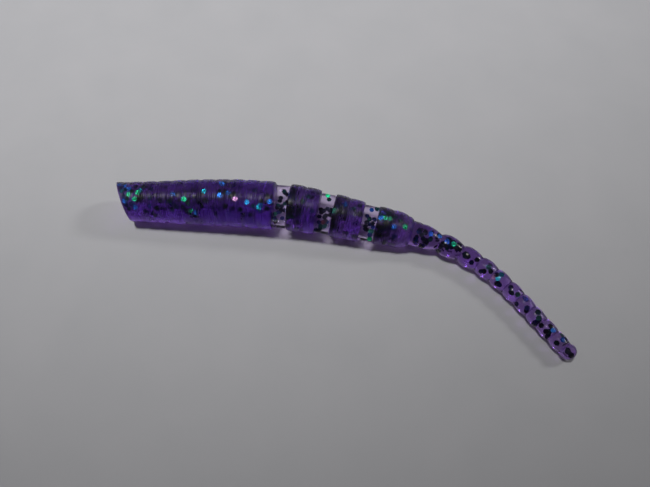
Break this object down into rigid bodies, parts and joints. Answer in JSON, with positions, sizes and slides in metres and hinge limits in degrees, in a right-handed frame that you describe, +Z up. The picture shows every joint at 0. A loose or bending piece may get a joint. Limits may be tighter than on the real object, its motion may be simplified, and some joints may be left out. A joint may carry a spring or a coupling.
{
  "type": "soft plastic worm",
  "caption": "Soft plastic fishing worm with a ringed head, collars joined by thin flat webs and a tapering beaded tail, cast in clear violet plastisol with glitter flakes.",
  "frame": {"origin": "centre of the flat nose, on the axis of the head", "axes": "+X along the head from the nose towards the tail, +Z up from the belly, +Y away from the side that the tail curls to"},
  "size_m": [0.0697, 0.0251, 0.0076],
  "materials": {
    "plastisol": "clear violet soft PVC, wet gloss",
    "clear_web": "the same clear violet soft PVC, thin enough to see through",
    "glitter": "metallised film flakes in blue, teal and green"
  },
  "bodies": {
    "head": {"head": "plastisol", "head_flakes": "glitter", "web_1": "clear_web", "web_1_flakes": "glitter"},
    "collar_1": {"collar_1": "plastisol", "collar_1_flakes": "glitter", "web_2": "clear_web", "web_2_flakes": "glitter"},
    "collar_2": {"collar_2": "plastisol", "collar_2_flakes": "glitter", "web_3": "clear_web", "web_3_flakes": "glitter"},
    "collar_3": {"collar_3": "plastisol", "collar_3_flakes": "glitter", "tail_neck_01": "plastisol"},
    "bead_01": {"tail_bead_01": "plastisol", "tail_bead_01_flakes": "glitter", "tail_neck_02": "plastisol"},
    "bead_02": {"tail_bead_02": "plastisol", "tail_bead_02_flakes": "glitter", "tail_neck_03": "plastisol"},
    "bead_03": {"tail_bead_03": "plastisol", "tail_bead_03_flakes": "glitter", "tail_neck_04": "plastisol"},
    "bead_04": {"tail_bead_04": "plastisol", "tail_bead_04_flakes": "glitter", "tail_neck_05": "plastisol"},
    "bead_05": {"tail_bead_05": "plastisol", "tail_bead_05_flakes": "glitter", "tail_neck_06": "plastisol"},
    "bead_06": {"tail_bead_06": "plastisol", "tail_bead_06_flakes": "glitter", "tail_neck_07": "plastisol"},
    "bead_07": {"tail_bead_07": "plastisol", "tail_bead_07_flakes": "glitter", "tail_neck_08": "plastisol"},
    "bead_08": {"tail_bead_08": "plastisol", "tail_bead_08_flakes": "glitter", "tail_neck_09": "plastisol"},
    "bead_09": {"tail_bead_09": "plastisol", "tail_bead_09_flakes": "glitter", "tail_neck_10": "plastisol"},
    "bead_10": {"tail_bead_10": "plastisol", "tail_bead_10_flakes": "glitter", "tail_neck_11": "plastisol"},
    "bead_11": {"tail_bead_11": "plastisol", "tail_bead_11_flakes": "glitter"}
  },
  "joints": [
    {"name": "web_1_bend", "type": "hinge", "parent": "head", "child": "collar_1", "pos_m": [0.02504, 0, 0.00072], "axis": [-0.0555, -0.9985, 0], "range_deg": [-30, 30], "stiffness_Nm_per_rad": 0.00015, "deforming": ["web_1"]},
    {"name": "web_2_bend", "type": "hinge", "parent": "collar_1", "child": "collar_2", "pos_m": [0.03189, -0.00076, 0.00043], "axis": [-0.138, -0.9904, 0], "range_deg": [-30, 30], "stiffness_Nm_per_rad": 0.00015, "deforming": ["web_2"]},
    {"name": "web_3_bend", "type": "hinge", "parent": "collar_2", "child": "collar_3", "pos_m": [0.03869, -0.0019, 0.00005], "axis": [-0.165, -0.9863, 0], "range_deg": [-30, 30], "stiffness_Nm_per_rad": 0.00015, "deforming": ["web_3"]},
    {"name": "neck_01_sway", "type": "hinge", "parent": "collar_3", "child": "bead_01", "pos_m": [0.04518, -0.00299, -0.00035], "axis": [0, 0, 1], "range_deg": [-10, 10], "stiffness_Nm_per_rad": 0.0002, "deforming": ["tail_neck_01"]},
    {"name": "neck_02_lift", "type": "hinge", "parent": "bead_01", "child": "bead_02", "pos_m": [0.0496, -0.00414, -0.00094], "axis": [-0.325, -0.9457, 0], "range_deg": [-10, 10], "stiffness_Nm_per_rad": 0.000188, "deforming": ["tail_neck_02"]},
    {"name": "neck_03_sway", "type": "hinge", "parent": "bead_02", "child": "bead_03", "pos_m": [0.05296, -0.00559, -0.00138], "axis": [0, 0, 1], "range_deg": [-10, 10], "stiffness_Nm_per_rad": 0.000176, "deforming": ["tail_neck_03"]},
    {"name": "neck_04_lift", "type": "hinge", "parent": "bead_03", "child": "bead_04", "pos_m": [0.05561, -0.00723, -0.00149], "axis": [-0.5787, -0.8155, 0], "range_deg": [-10, 10], "stiffness_Nm_per_rad": 0.000164, "deforming": ["tail_neck_04"]},
    {"name": "neck_05_sway", "type": "hinge", "parent": "bead_04", "child": "bead_05", "pos_m": [0.05777, -0.00897, -0.00158], "axis": [0, 0, 1], "range_deg": [-10, 10], "stiffness_Nm_per_rad": 0.000152, "deforming": ["tail_neck_05"]},
    {"name": "neck_06_lift", "type": "hinge", "parent": "bead_05", "child": "bead_06", "pos_m": [0.05958, -0.01077, -0.00164], "axis": [-0.7279, -0.6857, 0], "range_deg": [-10, 10], "stiffness_Nm_per_rad": 0.00014, "deforming": ["tail_neck_06"]},
    {"name": "neck_07_sway", "type": "hinge", "parent": "bead_06", "child": "bead_07", "pos_m": [0.06118, -0.01259, -0.0017], "axis": [0, 0, 1], "range_deg": [-10, 10], "stiffness_Nm_per_rad": 0.000128, "deforming": ["tail_neck_07"]},
    {"name": "neck_08_lift", "type": "hinge", "parent": "bead_07", "child": "bead_08", "pos_m": [0.06265, -0.0144, -0.00174], "axis": [-0.7802, -0.6256, 0], "range_deg": [-10, 10], "stiffness_Nm_per_rad": 0.000116, "deforming": ["tail_neck_08"]},
    {"name": "neck_09_sway", "type": "hinge", "parent": "bead_08", "child": "bead_09", "pos_m": [0.06407, -0.01619, -0.00177], "axis": [0, 0, 1], "range_deg": [-10, 10], "stiffness_Nm_per_rad": 0.000104, "deforming": ["tail_neck_09"]},
    {"name": "neck_10_lift", "type": "hinge", "parent": "bead_09", "child": "bead_10", "pos_m": [0.06547, -0.01795, -0.00179], "axis": [-0.7826, -0.6225, 0], "range_deg": [-10, 10], "stiffness_Nm_per_rad": 0.000092, "deforming": ["tail_neck_10"]},
    {"name": "neck_11_sway", "type": "hinge", "parent": "bead_10", "child": "bead_11", "pos_m": [0.06686, -0.0197, -0.0018], "axis": [0, 0, 1], "range_deg": [-10, 10], "stiffness_Nm_per_rad": 0.00008, "deforming": ["tail_neck_11"]}
  ]
}
